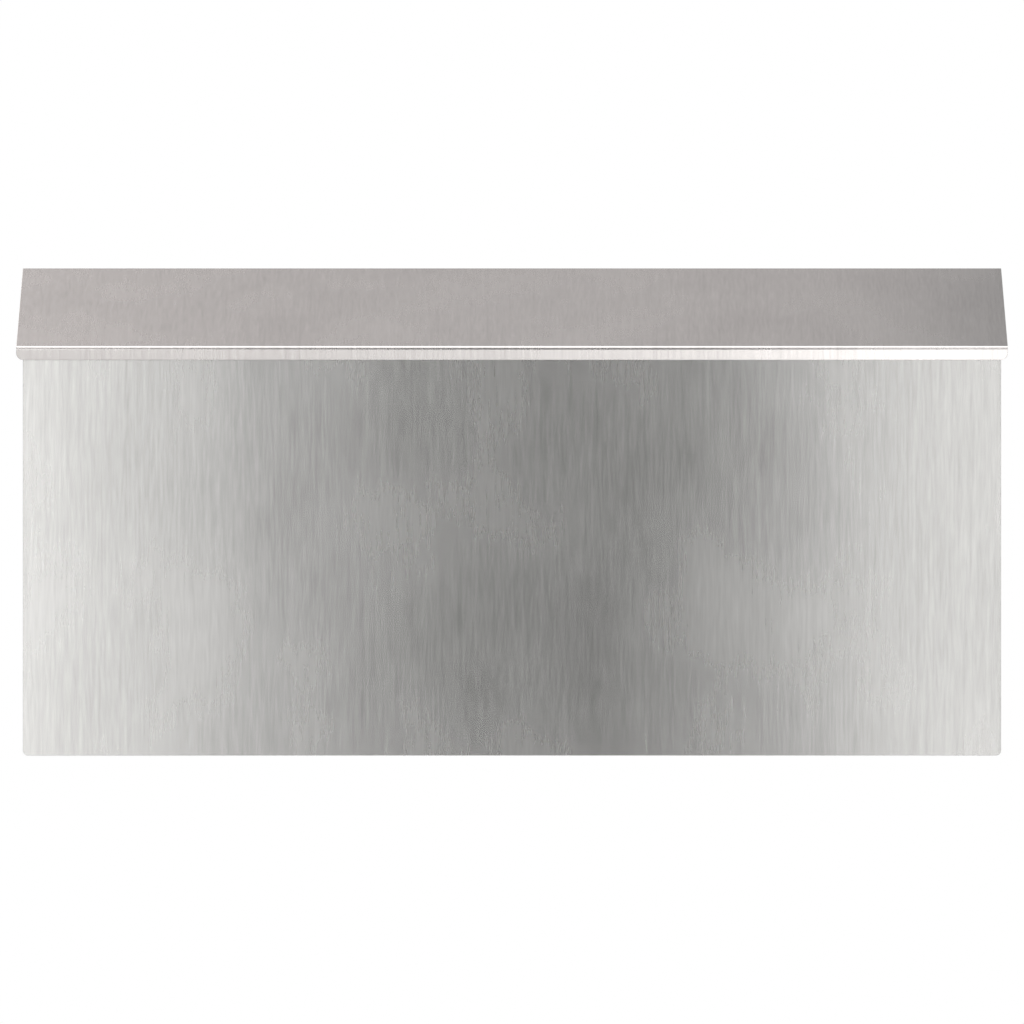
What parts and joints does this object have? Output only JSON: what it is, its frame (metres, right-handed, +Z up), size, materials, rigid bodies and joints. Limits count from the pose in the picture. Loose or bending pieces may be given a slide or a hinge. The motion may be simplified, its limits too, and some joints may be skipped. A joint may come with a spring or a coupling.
{
  "type": "wall mounted mailbox",
  "caption": "Wide wall mounted mailbox folded from brushed stainless sheet, with a flat front and a sloping lid that lifts on a full-length hinge at the wall.",
  "frame": {"origin": "middle of the back panel's rear face, which lies flat on the wall", "axes": "+X to the right of someone facing the mailbox, +Y into the wall, +Z up; the front faces -Y"},
  "size_m": [0.38, 0.1112, 0.188],
  "materials": {
    "brushed_stainless": "brushed up and down, satin",
    "lid_stainless": "brushed from front to back, satin",
    "hinge_stainless": "mill finish strip, rolled",
    "pin_stainless": "drawn wire, smooth",
    "rivet_stainless": "pressed, smooth",
    "clear_bumper": "clear soft polyurethane"
  },
  "bodies": {
    "housing": {"back_panel": "brushed_stainless", "left_side_panel": "brushed_stainless", "right_side_panel": "brushed_stainless", "bottom_panel": "brushed_stainless", "front_panel": "brushed_stainless", "hinge_fixed_leaf": "hinge_stainless", "hinge_pin": "pin_stainless", "hinge_rivet_1": "rivet_stainless", "hinge_rivet_2": "rivet_stainless", "hinge_rivet_3": "rivet_stainless", "hinge_rivet_4": "rivet_stainless", "hinge_rivet_5": "rivet_stainless", "hinge_rivet_6": "rivet_stainless", "hinge_rivet_7": "rivet_stainless", "lid_bumper_1": "clear_bumper", "lid_bumper_2": "clear_bumper", "lid_bumper_3": "clear_bumper", "lid_bumper_4": "clear_bumper"},
    "lid": {"lid_panel": "lid_stainless", "hinge_lid_leaf": "hinge_stainless"}
  },
  "joints": [
    {"name": "lid_hinge", "type": "hinge", "parent": "housing", "child": "lid", "pos_m": [0, -0.00335, 0.09088], "axis": [-1, 0, 0], "range_deg": [0, 105]}
  ]
}
